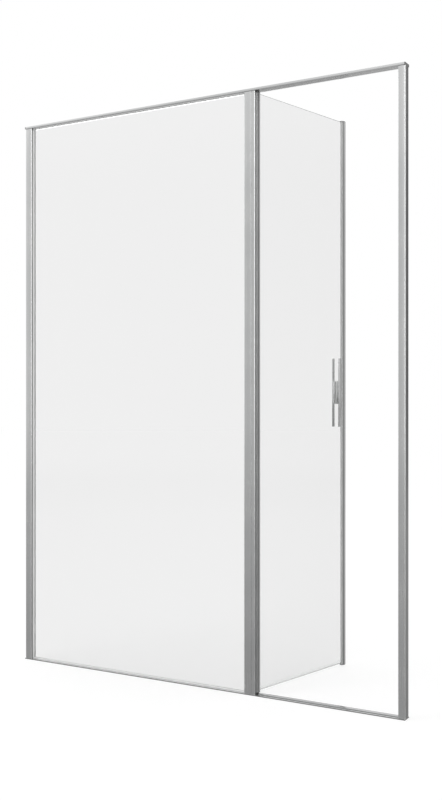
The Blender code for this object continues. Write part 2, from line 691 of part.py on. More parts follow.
def make_side_screws(posts, channels):
    """Screws through the back wall of each outer post into its wall channel."""
    back = POST_DEPTH / 2
    places = (("left", LEFT_POST_X + SIDE_SCREW_SETBACK),
              ("right", STRIKE_X + STRIKE_WIDTH - SIDE_SCREW_SETBACK))
    head_top = FIT_GAP + SIDE_HEAD_HEIGHT
    head = [(0, head_top), (SIDE_HEAD_RADIUS - SIDE_HEAD_RIM, head_top),
            (SIDE_HEAD_RADIUS, head_top - SIDE_HEAD_RIM), (SIDE_HEAD_RADIUS, FIT_GAP),
            (SCREW_RADIUS, FIT_GAP), (SCREW_RADIUS, -SIDE_SCREW_LENGTH),
            (0, -SIDE_SCREW_LENGTH)]
    hole_depth = POST_WALL + FIT_GAP + CHANNEL_LEG + CUT_OVERRUN
    hole = rod_profile(SCREW_HOLE_RADIUS, -hole_depth, CUT_OVERRUN)
    for (side, x), post, channel in zip(places, posts, channels):
        for number, share in enumerate(SIDE_SCREW_HEIGHT_SHARES, 1):
            spot = (x, back, share * FRAME_HEIGHT)
            bore(post, hole, spot, FACE_Y)
            bore(channel, hole, spot, FACE_Y)
            turned(f"side_screw_{side}_{number}", head, spot, FACE_Y, STEEL)


def make_top_rail():
    cap_inner = FRAME_WIDTH / 2 - RAIL_CAP_PLATE
    end = cap_inner - FIT_GAP
    rail = extruded("top_rail", top_rail_section(), -end, end, ALUMINIUM, along="X",
                    base=(0, RAIL_UNDERSIDE))
    outline = top_rail_section()[0]
    solid = [point for point in outline if abs(point[0]) > POCKET_HALF]
    for side, sign in (("left", -1), ("right", 1)):
        inner, outer = sorted((sign * cap_inner, sign * FRAME_WIDTH / 2))
        cap = extruded(f"rail_cap_{side}", [solid], inner, outer, BLACK_PLASTIC, along="X",
                       base=(0, RAIL_UNDERSIDE))
        for number, loop in enumerate(rail_chambers(FIT_GAP), 1):
            low, high = sorted((sign * (cap_inner + RAIL_CAP_PLATE / 2),
                                sign * (end - RAIL_CAP_TONGUE)))
            tongue = extruded(f"rail_cap_{side}_tongue_{number}", [loop], low, high,
                              BLACK_PLASTIC, along="X", base=(0, RAIL_UNDERSIDE))
            PARTS.objects.unlink(tongue)
            CUTTERS.objects.link(tongue)
            combine(cap, tongue, "UNION")
    return rail


def make_cover_strip():
    """Cover of the rail's groove over the doorway, a U with its legs up."""
    half = POCKET_HALF - FIT_GAP
    top = GROOVE_DEPTH - FIT_GAP
    inner = half - COVER_STRIP_WALL
    section = [[(-half, 0), (half, 0), (half, top), (inner, top), (inner, COVER_STRIP_WALL),
                (-inner, COVER_STRIP_WALL), (-inner, top), (-half, top)]]
    start = PIVOT_X + UPPER_PIVOT_KEY_END + FIT_GAP
    extruded("cover_strip", section, start, STRIKE_X - FIT_GAP, ALUMINIUM, along="X",
             base=(0, RAIL_UNDERSIDE))


def make_sill():
    sill = extruded("sill", sill_section(), LEFT_WALL, RIGHT_WALL, ALUMINIUM, along="X")
    bar = [[(-WATER_BAR_FRONT, 0), (WATER_BAR_BACK, 0),
            (WATER_BAR_BACK - WATER_BAR_SLOPE, WATER_BAR_HEIGHT),
            (-WATER_BAR_FRONT, WATER_BAR_HEIGHT)]]
    start = PIVOT_X + PIVOT_DISC_RADIUS + WATER_BAR_START_GAP
    extruded("water_bar", bar, start, STRIKE_X - FIT_GAP, ALUMINIUM, along="X",
             base=(0, POST_BOTTOM))
    return sill


def make_corner_screws(rail, sill):
    """Countersunk screws through the rail and the sill into each post's screw port."""
    places = (("left", LEFT_POST_X + PORT_SETBACK),
              ("mid", MID_POST_X + POST_WIDTH - PORT_SETBACK),
              ("strike", STRIKE_X + STRIKE_WIDTH - STRIKE_PORT_SETBACK))
    screw = countersunk_screw(SCREW_RADIUS, CORNER_HEAD_RADIUS, CORNER_HEAD_DEPTH,
                              -CORNER_SCREW_LENGTH, 0)
    seat = countersunk_hole(SCREW_RADIUS, CORNER_HEAD_RADIUS, CORNER_HEAD_DEPTH,
                            -RAIL_HEIGHT, 0)
    for name, x in places:
        top, bottom = (x, 0, FRAME_HEIGHT), (x, 0, 0)
        bore(rail, seat, top, UPRIGHT)
        bore(sill, seat, bottom, FACE_DOWN)
        turned(f"rail_screw_{name}", screw, top, UPRIGHT, STEEL)
        turned(f"sill_screw_{name}", screw, bottom, FACE_DOWN, STEEL)


def make_fixed_glass():
    """Fixed pane and its four gaskets."""
    edge = FIT_GAP + GASKET_BASE + FIT_GAP
    left = LEFT_POST_X + POCKET_FLOOR + edge
    right = MID_POST_X + POCKET_DEPTH - edge
    bottom = POST_BOTTOM + BED_STRIP_BASE + FIT_GAP
    top = GROOVE_CEILING - FIT_GAP - TOP_GASKET_BASE - FIT_GAP
    box("fixed_glass", (left, -HALF_GLASS, bottom), (right, HALF_GLASS, top), CLEAR_GLASS,
        bevel=GLASS_ARRIS)

    nose = POST_WIDTH + GASKET_NOSE
    side = u_section(POCKET_FLOOR + FIT_GAP, GASKET_BASE, nose, GASKET_OUTER, GASKET_INNER)
    extruded("left_gasket", side, POST_BOTTOM, POST_TOP, PALE_GASKET, base=(LEFT_POST_X, 0))
    extruded("mid_gasket", [turned_about(loop) for loop in side], POST_BOTTOM, POST_TOP,
             PALE_GASKET, base=(MID_POST_X + POST_WIDTH, 0))

    start = LEFT_POST_X + nose + FIT_GAP
    stop = MID_POST_X - GASKET_NOSE - FIT_GAP
    head = u_section(GROOVE_CEILING - FIT_GAP, TOP_GASKET_BASE,
                     RAIL_UNDERSIDE - TOP_GASKET_DROP, GASKET_OUTER, GASKET_INNER)
    extruded("top_gasket", [[(y, z) for z, y in loop] for loop in head], start, stop,
             PALE_GASKET, along="X")
    bed = u_section(0, BED_STRIP_BASE, BED_STRIP_HEIGHT, GASKET_INNER + BED_STRIP_WALL,
                    GASKET_INNER)
    extruded("bed_strip", [[(y, z) for z, y in loop] for loop in bed], start, stop,
             PALE_GASKET, along="X", base=(0, POST_BOTTOM))


def make_strike_seal():
    loops = strip_section(STRIKE_LIP_LENGTH, -1, STRIKE_GROOVE_MOUTH, STRIKE_GROOVE_DEPTH)
    extruded("strike_seal", loops, POST_BOTTOM, POST_TOP, MAGNET_GREY, base=(STRIKE_X, 0))


def make_pivot_blocks():
    """Black bearing blocks: a flanged bush on the sill and a keyed disc under the rail."""
    flange_top = POST_BOTTOM + LOWER_PIVOT_FLANGE
    turned("lower_pivot_block",
           [(BEARING_RADIUS, LOWER_PIVOT_TOP), (LOWER_PIVOT_RADIUS, LOWER_PIVOT_TOP),
            (LOWER_PIVOT_RADIUS, flange_top), (PIVOT_DISC_RADIUS, flange_top),
            (PIVOT_DISC_RADIUS, POST_BOTTOM), (BEARING_RADIUS, POST_BOTTOM)],
           (PIVOT_X, 0, 0), UPRIGHT, BLACK_PLASTIC)

    radius = PIVOT_DISC_RADIUS
    front_x = JAMB_NOSE_REACH + PIVOT_JAMB_GAP
    front_angle = math.tau - math.acos(front_x / radius)
    outline = rounded(arc((0, 0), radius, 0, front_angle, ROUND_STEPS)
                      + [(front_x, -UPPER_PIVOT_TAB, UPPER_PIVOT_CORNER),
                         (radius, -UPPER_PIVOT_TAB, UPPER_PIVOT_CORNER)])
    low = POST_TOP - UPPER_PIVOT_PLATE
    block = extruded("upper_pivot_block", [outline], low, POST_TOP, BLACK_PLASTIC,
                     base=(PIVOT_X, 0))
    key_half = POCKET_HALF - FIT_GAP
    key = box("upper_pivot_key",
              (PIVOT_X - UPPER_PIVOT_KEY_START, -key_half, low + UPPER_PIVOT_PLATE / 2),
              (PIVOT_X + UPPER_PIVOT_KEY_END, key_half, GROOVE_CEILING - FIT_GAP),
              BLACK_PLASTIC)
    PARTS.objects.unlink(key)
    CUTTERS.objects.link(key)
    combine(block, key, "UNION")
    bore(block, rod_profile(BEARING_RADIUS, low - CUT_OVERRUN, GROOVE_CEILING + CUT_OVERRUN),
         (PIVOT_X, 0, 0), UPRIGHT)


# Door pieces: modelled closed along +x from the pivot axis, and parented to it

def make_hinge(pivot):
    extruded("hinge_profile", hinge_section(), HINGE_PROFILE_BOTTOM, HINGE_PROFILE_TOP,
             POLISHED, parent=pivot)
    cap = [hinge_outline(), circle((0, 0), PIN_HOLE_RADIUS)]
    low = HINGE_PROFILE_BOTTOM - FIT_GAP
    extruded("hinge_cap_lower", cap, low - HINGE_CAP_LOWER, low, BLACK_PLASTIC, parent=pivot)
    high = HINGE_PROFILE_TOP + FIT_GAP
    extruded("hinge_cap_upper", cap, high, high + HINGE_CAP_UPPER, BLACK_PLASTIC,
             parent=pivot)
    turned("lower_pivot_pin",
           rod_profile(PIN_RADIUS, POST_BOTTOM + FIT_GAP, HINGE_PROFILE_BOTTOM + PIN_IN_PROFILE),
           (0, 0, 0), UPRIGHT, STEEL, parent=pivot)
    turned("upper_pivot_pin",
           rod_profile(PIN_RADIUS, HINGE_PROFILE_TOP - PIN_IN_PROFILE, GROOVE_CEILING - FIT_GAP),
           (0, 0, 0), UPRIGHT, STEEL, parent=pivot)
    gasket = u_section(HINGE_SLOT_FLOOR + FIT_GAP, SLOT_GASKET_BASE,
                       HINGE_LIP_END + SLOT_GASKET_NOSE, SLOT_GASKET_OUTER, GASKET_INNER)
    extruded("hinge_gasket", gasket, HINGE_PROFILE_BOTTOM, HINGE_PROFILE_TOP, PALE_GASKET,
             parent=pivot)


def make_door_glass(pivot):
    start = HINGE_SLOT_FLOOR + FIT_GAP + SLOT_GASKET_BASE + FIT_GAP
    stop = EDGE_START + EDGE_SLOT_DEPTH - FIT_GAP - SLOT_GASKET_BASE - FIT_GAP
    glass = box("door_glass", (start, -HALF_GLASS, LEAF_GLASS_BOTTOM),
                (stop, HALF_GLASS, RAIL_UNDERSIDE - LEAF_GLASS_TOP_GAP), CLEAR_GLASS,
                parent=pivot, bevel=GLASS_ARRIS)
    reach = HALF_GLASS + CUT_OVERRUN
    for height in bolt_heights():
        bore(glass, rod_profile(HANDLE_BOLT_RADIUS + GLASS_HOLE_ROOM, -reach, reach),
             (HANDLE_X, 0, height), FACE_Y, parent=pivot)


def make_free_edge(pivot):
    extruded("edge_profile", edge_section(), EDGE_PROFILE_BOTTOM, EDGE_PROFILE_TOP,
             POLISHED, parent=pivot)
    gasket = u_section(EDGE_START + EDGE_SLOT_DEPTH - FIT_GAP, SLOT_GASKET_BASE,
                       EDGE_START - SLOT_GASKET_NOSE, SLOT_GASKET_OUTER, GASKET_INNER)
    extruded("edge_gasket", gasket, EDGE_PROFILE_BOTTOM, EDGE_PROFILE_TOP, PALE_GASKET,
             parent=pivot)
    strip = strip_section(EDGE_STOP, 1, STRIP_MOUTH_DEPTH, EDGE_GROOVE_DEPTH)
    extruded("door_magnet_strip", strip, EDGE_PROFILE_BOTTOM, EDGE_PROFILE_TOP, MAGNET_GREY,
             parent=pivot)
    low = EDGE_PROFILE_BOTTOM - FIT_GAP
    extruded("edge_cap_lower", edge_cap_section(), low - EDGE_CAP_THICKNESS, low,
             BLACK_PLASTIC, parent=pivot)
    high = EDGE_PROFILE_TOP + FIT_GAP
    extruded("edge_cap_upper", edge_cap_section(), high, high + EDGE_CAP_THICKNESS,
             BLACK_PLASTIC, parent=pivot)


def make_wiper(pivot):
    """Clear seal on the glass's bottom edge, with a fin that hangs over the water bar."""
    outer = GASKET_INNER + WIPER_WALL
    base = LEAF_GLASS_BOTTOM - WIPER_BASE_DROP
    shoulder = base + WIPER_SLOPE
    leg_top = LEAF_GLASS_BOTTOM + WIPER_LEG_HEIGHT
    floor = LEAF_GLASS_BOTTOM - FIT_GAP
    fin = WIPER_FIN / 2
    fin_low = WATER_BAR_TOP + WIPER_FIN_GAP
    section = [[(-fin, fin_low), (fin, fin_low), (fin, base), (outer, shoulder),
                (outer, leg_top), (GASKET_INNER, leg_top), (GASKET_INNER, floor),
                (-GASKET_INNER, floor), (-GASKET_INNER, leg_top), (-outer, leg_top),
                (-outer, shoulder), (-fin, base)]]
    start = HINGE_LIP_END + SLOT_GASKET_NOSE + FIT_GAP
    stop = EDGE_START - SLOT_GASKET_NOSE - FIT_GAP
    extruded("bottom_wiper", section, start, stop, CLEAR_PLASTIC, along="X", parent=pivot)


def bolt_heights():
    return (HANDLE_HEIGHT - HANDLE_BOLT_SPACING / 2, HANDLE_HEIGHT + HANDLE_BOLT_SPACING / 2)


def make_handle(pivot):
    """Flat bars on both sides of the glass, each on a block, held by two through bolts."""
    low = HANDLE_HEIGHT - BAR_LENGTH / 2
    high = HANDLE_HEIGHT + BAR_LENGTH / 2
    half_width = BAR_WIDTH / 2
    half_bar = BAR_THICKNESS / 2
    bar = [rounded([(-half_width, -half_bar, BAR_CORNER_RADIUS),
                    (half_width, -half_bar, BAR_CORNER_RADIUS),
                    (half_width, half_bar, BAR_CORNER_RADIUS),
                    (-half_width, half_bar, BAR_CORNER_RADIUS)])]
    pad_near = HALF_GLASS + FIT_GAP
    pad_far = pad_near + PAD_THICKNESS
    block_near = pad_far + FIT_GAP
    block_far = BAR_SPACING / 2 - half_bar - FIT_GAP
    half_block = BLOCK_WIDTH / 2
    block_low = HANDLE_HEIGHT - BLOCK_LENGTH / 2
    block_high = HANDLE_HEIGHT + BLOCK_LENGTH / 2
    through = rod_profile(HANDLE_BOLT_RADIUS + FIT_GAP, -BAR_SPACING, BAR_SPACING)
    bolt_end = HANDLE_BOLT_GRIP + BAR_SPACING / 2 - half_bar
    head_end = BAR_SPACING / 2 + half_bar
    holes = {"outer": rod_profile(HANDLE_BOLT_RADIUS + FIT_GAP, -bolt_end - FIT_GAP, 0),
             "inner": countersunk_hole(HANDLE_BOLT_RADIUS, HANDLE_BOLT_HEAD_RADIUS,
                                       HANDLE_BOLT_HEAD_DEPTH, 0, head_end)}
    for side, sign in (("outer", -1), ("inner", 1)):
        y = sign * BAR_SPACING / 2
        piece = extruded(f"handle_{side}_bar", bar, low, high, POLISHED, parent=pivot,
                         base=(HANDLE_X, y))
        add_bevel(piece, BAR_END_BEVEL, 2)
        near, far = sorted((sign * block_near, sign * block_far))
        block = box(f"handle_{side}_block", (HANDLE_X - half_block, near, block_low),
                    (HANDLE_X + half_block, far, block_high), POLISHED, parent=pivot,
                    bevel=BLOCK_EDGE, segments=2)
        near, far = sorted((sign * pad_near, sign * pad_far))
        pad = box(f"handle_{side}_pad", (HANDLE_X - half_block, near, block_low),
                  (HANDLE_X + half_block, far, block_high), CLEAR_PLASTIC, parent=pivot)
        for height in bolt_heights():
            spot = (HANDLE_X, 0, height)
            bore(block, through, spot, FACE_Y, parent=pivot)
            bore(pad, through, spot, FACE_Y, parent=pivot)
            bore(piece, holes[side], spot, FACE_Y, parent=pivot)
    bolt = countersunk_screw(HANDLE_BOLT_RADIUS, HANDLE_BOLT_HEAD_RADIUS,
                             HANDLE_BOLT_HEAD_DEPTH, -bolt_end, head_end)
    for name, height in zip(("lower", "upper"), bolt_heights()):
        turned(f"handle_bolt_{name}", bolt, (HANDLE_X, 0, height), FACE_Y, STEEL,
               parent=pivot)


def make_pivot():
    """Empty on the door's turning axis, turned to the open position."""
    pivot = bpy.data.objects.new("door_pivot", None)
    place(pivot, PARTS, (PIVOT_X, 0, 0), (0, 0, OPEN_ANGLE), None)
    return pivot


clear_scene()
PARTS = new_collection("shower_door")
CUTTERS = new_collection("cutters")

LEFT_POST, STRIKE_POST = make_posts()
make_side_screws((LEFT_POST, STRIKE_POST), make_wall_channels())
TOP_RAIL = make_top_rail()
make_cover_strip()
make_corner_screws(TOP_RAIL, make_sill())
make_fixed_glass()
make_strike_seal()
make_pivot_blocks()

PIVOT = make_pivot()
make_hinge(PIVOT)
make_door_glass(PIVOT)
make_free_edge(PIVOT)
make_wiper(PIVOT)
make_handle(PIVOT)
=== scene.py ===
import json
import math

import bmesh
import bpy
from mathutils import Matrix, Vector


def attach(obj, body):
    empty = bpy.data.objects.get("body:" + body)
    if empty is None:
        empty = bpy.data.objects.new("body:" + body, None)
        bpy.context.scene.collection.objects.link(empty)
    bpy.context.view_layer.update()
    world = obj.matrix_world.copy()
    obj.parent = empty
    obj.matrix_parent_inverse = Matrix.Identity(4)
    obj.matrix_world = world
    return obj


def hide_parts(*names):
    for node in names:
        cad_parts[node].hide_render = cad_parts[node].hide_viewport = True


# Looks of a framed alcove shower door: finishes, small hardware, studio and camera.
# All lengths are in metres, in the frame's own axes: X along the frame, Y into the shower, Z up.

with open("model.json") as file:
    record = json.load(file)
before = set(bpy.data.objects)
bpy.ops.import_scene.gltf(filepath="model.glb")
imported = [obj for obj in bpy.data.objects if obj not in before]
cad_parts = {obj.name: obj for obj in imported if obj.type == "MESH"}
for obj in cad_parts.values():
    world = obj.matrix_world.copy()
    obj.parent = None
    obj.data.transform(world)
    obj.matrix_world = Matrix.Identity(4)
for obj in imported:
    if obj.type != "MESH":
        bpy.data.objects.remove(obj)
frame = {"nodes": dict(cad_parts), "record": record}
bpy.context.view_layer.update()

# Camera, as the photograph has it
PHOTO_HEIGHT_PX = 800
FOCAL_LENGTH_PX = 1036
SENSOR_MM = 36
CAMERA_PLACE = (1.851, -3.014, 0.973)
CAMERA_HEADING = math.radians(30.25)

# Studio: white where it is seen, a plain soft light on the object, and greys for its metal
FILL_LIGHT = 0.88
FLOOR_LEVEL = -0.0003
FLOOR_RADIUS = 30
FLOOR_SIDES = 96
FLOOR_SHADE = 0.28              # how much of the object's shadow the camera sees on the floor
FLOOR_COLOUR = 0.85
LAMP_PLACE = (-2.6, -3.4, 3.6)
LAMP_TARGET = (0, 0, 1)
LAMP_SIZE = 2.4
LAMP_POWER = 60
SURROUND_RADIUS = 9
SURROUND_LEVEL = -0.0001
SURROUND_CENTRE = 1.0
SURROUND_SEGMENTS = 64
SURROUND_RINGS = 48
SKIRTING = 0.3                  # height over which the mirrored floor blends into the wall
BEHIND_GLASS_LEVEL = (2.2, 2.2, 2.2)
ONCE_MIRRORED = 0.5             # least glossy depth of a ray that a surface has mirrored
THROUGH_A_PANE = 1.5            # least transmission depth past both faces of a pane

# Grey levels of the surround at places from 0 to 1. The compass runs from the shower side round
# by the left, the room and the right, heights run up from the middle of the surround, and the
# floor's places from under the object out to the wall.
COMPASS_LEVELS = (
    (0, 0.60), (0.06, 0.75), (0.11, 1.1), (0.25, 1.0), (0.37, 0.68), (0.42, 0.54), (0.45, 0.60),
    (0.56, 0.80), (0.60, 3.2), (0.65, 0.60), (0.82, 0.42), (0.87, 0.50), (0.94, 0.10), (1, 0.60))
HEIGHT_LEVELS = ((0, 1.0), (0.26, 1.0), (0.38, 1.35), (1, 1.35))
FLOOR_LEVELS = ((0, 0.32), (0.18, 0.38), (0.55, 0.44), (0.78, 0.38), (1, 0.36))

# Directions that faces look and edges run in
OPEN_ANGLE = math.radians(78.5)
EDGE_SLOPE_ANGLE = math.radians(55)
TO_ROOM = (0, -1, 0)
TO_SHOWER = (0, 1, 0)
TO_RIGHT = (1, 0, 0)
TO_CORNER = (0.6, -0.8, 0)
ALONG_LEAF = (math.cos(OPEN_ANGLE), math.sin(OPEN_ANGLE), 0)
DOOR_NORMAL = (-math.sin(OPEN_ANGLE), math.cos(OPEN_ANGLE), 0)
OFF_GLASS = (math.sin(OPEN_ANGLE), -math.cos(OPEN_ANGLE), 0)
EDGE_SLOPE = (math.sin(EDGE_SLOPE_ANGLE), -math.cos(EDGE_SLOPE_ANGLE), 0)

# How far a face has to turn to a direction before its tones change, and when they have changed. Except
# for the glass edge, these pick faces for painted highlights or painted shade
FACE_TURN = (0.3, 0.97)
HINGE_FRONT_TURN = (0.6, 0.97)
POST_CORNER_TURN = (0.82, 0.90)
POST_SIDE_TURN = (0.93, 0.97)
JAMB_NOSE_TURN = (0.8, 0.97)
BAR_TURN = (0.9, 0.97)
EDGE_SIDE_TURN = (0.95, 0.985)
EDGE_SLOPE_TURN = (0.95, 0.99)
GLASS_EDGE_TURN = (0.6, 0.9)

# The hinge profile's glass lips get a painted highlight from here on, measured along the leaf
PIVOT_X = 0.2295
LIPS_FROM_PIVOT = 0.0045
LIPS_BLEND = 0.002
LIPS_HIGHLIGHT_START = PIVOT_X * math.cos(OPEN_ANGLE) + LIPS_FROM_PIVOT
LIPS_HIGHLIGHT_FULL = LIPS_HIGHLIGHT_START + LIPS_BLEND

# Metal colours, darker and lighter, with the tones of painted highlights and painted shade
COOL_TINT = 0.005
TONE_STEP = 0.04


def greys(level):
    """A dark and a light grey of faintly cool metal."""
    dark = (level, level + COOL_TINT, level + COOL_TINT)
    return dark, tuple(share + TONE_STEP for share in dark)


FRAME_TONES = ((0.760, 0.768, 0.770), (0.800, 0.806, 0.806))
DOOR_TONES = ((0.680, 0.688, 0.688), (0.720, 0.726, 0.724))
HANDLE_TONES = ((0.610, 0.616, 0.616), (0.650, 0.656, 0.654))
SILL_TONES = ((0.58, 0.586, 0.586), (0.62, 0.626, 0.626))
# Painted highlight tones, laid on corners, noses, lips and sides of the profiles
PAINTED_HIGHLIGHT_TONES = ((0.92, 0.925, 0.925), (0.95, 0.955, 0.955))
COVER_TONES = greys(0.84)
# Painted shade: the wall channels' darker tone stands in for shade on their sides
CHANNEL_SHADE_TONES = greys(0.52)
HINGE_TONES = greys(0.44)
# Painted shade tones, for the edge profile's slope, the left post's side, the hinge profile's front and
# the sill's front
EDGE_SLOPE_SHADE_TONES = greys(0.44)
POST_SIDE_SHADE_TONES = greys(0.38)
HINGE_FRONT_SHADE_TONES = greys(0.28)
SILL_FRONT_SHADE_TONES = greys(0.28)
STEEL_TONES = ((0.52, 0.52, 0.53), (0.58, 0.58, 0.59))

# Colours of glass and plastic
GLASS_FACE = (0.883, 0.883, 0.883)
GLASS_EDGE = (0.74, 0.84, 0.80)
GLASS_SHADOW = (0.86, 0.88, 0.87)
GLASS_IOR = 1.4
WIPER_TINT = (0.985, 0.990, 0.987)
WIPER_IOR = 1.08
GASKET_TONES = ((0.93, 0.935, 0.93), (0.96, 0.962, 0.96))
PAD_TONES = ((0.92, 0.925, 0.92), (0.95, 0.955, 0.95))
MAGNET_TONES = ((0.38, 0.385, 0.39), (0.45, 0.455, 0.46))
CAP_TONES = ((0.20, 0.20, 0.201), (0.23, 0.23, 0.231))
BLACK_TONES = ((0.060, 0.060, 0.061), (0.075, 0.075, 0.076))

# Roughness: one value for aluminium, and the smoothest and roughest spots of the rest
RAIL_ROUGHNESS = 0.13
DOOR_ROUGHNESS = 0.17
HANDLE_ROUGHNESS = 0.20
POST_ROUGHNESS = 0.25
CHANNEL_ROUGHNESS = 0.30
HINGE_ROUGHNESS = 0.60
ROUGHNESS_DRIFT = 0.02
STEEL_ROUGHNESS = (0.26, 0.40)
MOULD_ROUGHNESS = (0.36, 0.52)
GASKET_ROUGHNESS = (0.34, 0.48)
MAGNET_ROUGHNESS = (0.42, 0.56)
GROUND_ROUGHNESS = (0.10, 0.22)
WIPER_ROUGHNESS = (0.03, 0.09)

# Patterns: stretch along the extrusion, scale and detail of each noise, its used middle, and
# strength and depth of each bump
EVEN = (1, 1, 1)
UPRIGHT_GRAIN = (1, 1, 0.002)
LEVEL_GRAIN = (0.002, 1, 1)
LINE_NOISE = (2400, 3)
CLOUD_NOISE = (9, 3)
TURNING_NOISE = (1500, 4)
BROAD_NOISE = (30, 2)
GROUND_NOISE = (1800, 3)
WIPER_NOISE = (260, 3)
HARD_GRAIN = (1500, 5)
MAGNET_GRAIN = (1200, 5)
SOFT_GRAIN = (900, 5)
NOISE_MIDDLE = (0.3, 0.7)
CLOUD_MIDDLE = (0.35, 0.65)
LINE_BUMP = (0.06, 0.00004)
TURNING_BUMP = (0.15, 0.00003)
MOULD_BUMP = (0.2, 0.00006)

# Smoothing of the CAD nodes
WELD = 0.00002
SMOOTH_ANGLE = math.radians(35)
SOFT_EDGE = 0.0002
SOFT_SLOTS = ("clear_seal", "pale_gasket", "black_plastic")
LEVEL_NODES = ("top_rail", "water_bar")

# Screws
SCREW_SIDES = 32
HEAD_STEPS = 5
SIDE_SCREWS = 3
SCREW_RADIUS = 0.0016
SIDE_HEAD_RADIUS = 0.0032
SIDE_HEAD_RIM = 0.0012
SIDE_HEAD_HEIGHT = 0.0020
SIDE_SCREW_LENGTH = 0.0085
CORNER_HEAD_RADIUS = 0.0034
CORNER_HEAD_DEPTH = 0.0018
CORNER_SCREW_LENGTH = 0.030
BOLT_RADIUS = 0.0019
BOLT_HEAD_RADIUS = 0.0036
BOLT_HEAD_DEPTH = 0.0022
BOLT_LENGTH = 0.034
CROSS_REACH = 0.00165
CROSS_HALF = 0.00038
CROSS_DEPTH = 0.0012
CROSS_FLOOR_SHARE = 0.55
HEX_SIDES = 6
HEX_REACH = 0.00145
HEX_DEPTH = 0.0014
HEX_FLOOR_SHARE = 1


# Node helpers

# Inputs and output of a mix node that mixes colours
MIX_SHARE = 0
MIX_FIRST = 6
MIX_SECOND = 7
MIX_COLOUR = 2


def add_node(tree, kind, **settings):
    node = tree.nodes.new(kind)
    for name, value in settings.items():
        setattr(node, name, value)
    return node


def set_or_link(tree, socket, value):
    """A socket is linked, and anything else is the input's value."""
    if isinstance(value, bpy.types.NodeSocket):
        tree.links.new(value, socket)
    else:
        socket.default_value = value


def feed(tree, node, **inputs):
    """Set a node's inputs by name."""
    for name, value in inputs.items():
        set_or_link(tree, node.inputs[name.replace("_", " ")], value)
    return node


def object_coordinates(tree, stretch):
    place = add_node(tree, "ShaderNodeTexCoord")
    mapping = add_node(tree, "ShaderNodeMapping")
    feed(tree, mapping, Vector=place.outputs["Object"], Scale=stretch)
    return mapping.outputs["Vector"]


def noise(tree, stretch, pattern):
    """Noise of a (scale, detail) on the object, stretched along its axes."""
    vector = object_coordinates(tree, stretch)
    scale, detail = pattern
    node = add_node(tree, "ShaderNodeTexNoise")
    return feed(tree, node, Vector=vector, Scale=scale, Detail=detail).outputs["Fac"]


def spread(tree, value, span, to_low, to_high):
    """Map a value from the span (low, high) to another range, clamped."""
    low, high = span
    node = add_node(tree, "ShaderNodeMapRange")
    feed(tree, node, From_Min=low, From_Max=high, To_Min=to_low, To_Max=to_high, Value=value)
    return node.outputs["Result"]


def maths(tree, operation, first, second):
    node = add_node(tree, "ShaderNodeMath", operation=operation)
    for socket, value in zip(node.inputs, (first, second)):
        set_or_link(tree, socket, value)
    return node.outputs[0]


def mixed(tree, share, first, second, blend="MIX"):
    """Mix two colours, each of them a socket or red, green and blue."""
    node = add_node(tree, "ShaderNodeMix", data_type="RGBA", blend_type=blend)
    for number, value in ((MIX_SHARE, share), (MIX_FIRST, first), (MIX_SECOND, second)):
        colour = (*value, 1) if isinstance(value, tuple) else value
        set_or_link(tree, node.inputs[number], colour)
    return node.outputs[MIX_COLOUR]


def bump(tree, height, shape):
    """Bump of a (strength, depth)."""
    strength, distance = shape
    node = add_node(tree, "ShaderNodeBump")
    return feed(tree, node, Height=height, Strength=strength, Distance=distance).outputs["Normal"]


def share_along(tree, kind, direction):
    """A coordinate or normal of the object, measured along a direction of the frame."""
    place = add_node(tree, "ShaderNodeTexCoord")
    across = add_node(tree, "ShaderNodeVectorMath", operation="DOT_PRODUCT")
    tree.links.new(place.outputs[kind], across.inputs[0])
    across.inputs[1].default_value = direction
    return across.outputs["Value"]


def facing(tree, direction):
    """How far a face looks along a direction of the frame, from -1 to 1."""
    return share_along(tree, "Normal", direction)


def ramp(tree, value, stops):
    """Grey levels at places from 0 to 1, blended softly between them."""
    node = add_node(tree, "ShaderNodeValToRGB")
    node.color_ramp.interpolation = "EASE"
    elements = node.color_ramp.elements
    for _ in stops[2:]:
        elements.new(0.5)
    for element, (place, level) in zip(elements, stops):
        element.position = place
        element.color = (level, level, level, 1)
    tree.links.new(value, node.inputs["Fac"])
    return node.outputs["Color"]


def new_material(name):
    material = bpy.data.materials.new(name)
    material.use_nodes = True
    return material, material.node_tree, material.node_tree.nodes["Principled BSDF"]


def shade_by(tree, share, first, second):
    """Shade by the first shader where share is 0 and by the second where it is 1."""
    mix = add_node(tree, "ShaderNodeMixShader")
    tree.links.new(share, mix.inputs[0])
    tree.links.new(first.outputs[0], mix.inputs[1])
    tree.links.new(second.outputs[0], mix.inputs[2])
    tree.links.new(mix.outputs["Shader"], tree.nodes["Material Output"].inputs["Surface"])


# Finishes

def turned_to(way, turn=FACE_TURN):
    """Picks the faces that look one way."""
    return lambda tree: spread(tree, facing(tree, way), turn, 0, 1)


def lying_beyond(way, low, high):
    """Picks what lies beyond a distance along one way."""
    return lambda tree: spread(tree, share_along(tree, "Object", way), (low, high), 0, 1)


